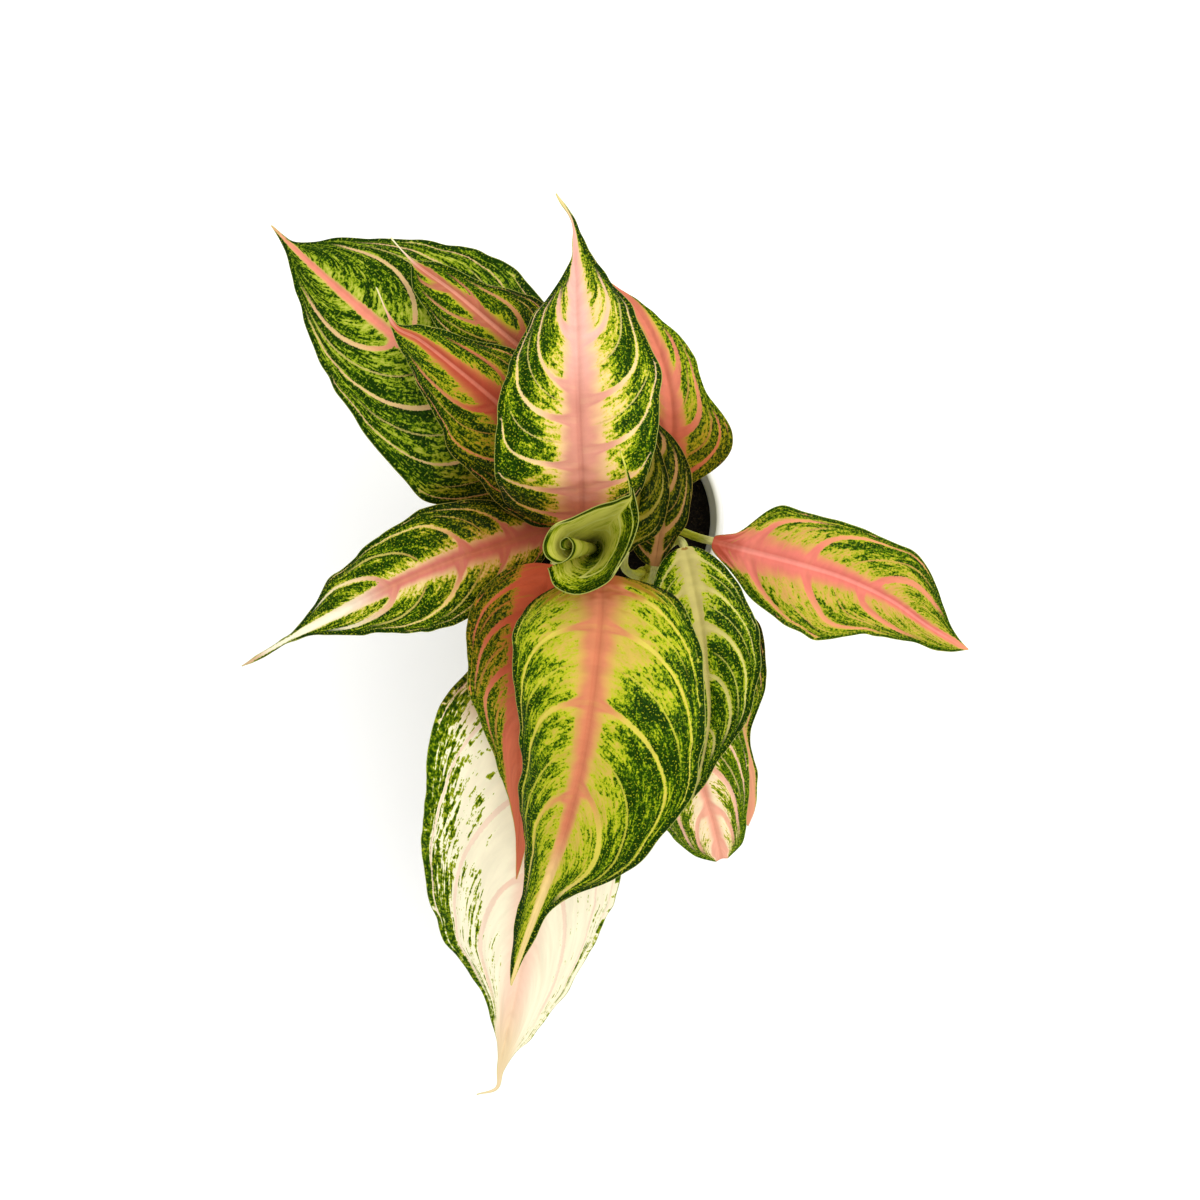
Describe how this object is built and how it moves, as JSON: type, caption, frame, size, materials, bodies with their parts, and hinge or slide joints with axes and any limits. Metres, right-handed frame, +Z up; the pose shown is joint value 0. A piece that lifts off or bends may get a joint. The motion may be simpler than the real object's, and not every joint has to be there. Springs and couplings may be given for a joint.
{
  "type": "potted aglaonema",
  "caption": "Potted aglaonema: broad pink, cream and green patterned leaves on upright petioles in a round white glazed pot.",
  "frame": {"origin": "centre of the pot's flat base, on the surface it stands on", "axes": "+Z up along the pot's axis; -Y towards the side where the longest leaf hangs out; +X to the right of a viewer there"},
  "size_m": [0.3858, 0.4797, 0.3522],
  "materials": {
    "pot_glaze": "gloss",
    "potting_soil": "matte",
    "stem": "satin",
    "leaf_dark_green": "satin",
    "leaf_green": "satin",
    "leaf_pink": "satin",
    "leaf_cream": "satin"
  },
  "bodies": {
    "root": {"pot": "pot_glaze", "soil": "potting_soil", "shoot_main": "stem", "shoot_right": "stem", "shoot_front": "stem", "leaf_top": "leaf_cream", "leaf_front": "leaf_green", "leaf_left_inner": "leaf_pink", "leaf_left_back": "leaf_pink", "leaf_upper_left": "leaf_green", "leaf_upper_right": "leaf_pink", "leaf_left_low": "leaf_cream", "leaf_red": "leaf_pink", "leaf_bottom": "leaf_cream", "leaf_right": "leaf_dark_green", "leaf_far_right": "leaf_pink", "leaf_blunt": "leaf_cream", "leaf_low_right": "leaf_pink", "leaf_shade_inner": "leaf_dark_green", "leaf_shade_outer": "leaf_dark_green", "leaf_rolled": "leaf_green"}
  },
  "joints": []
}
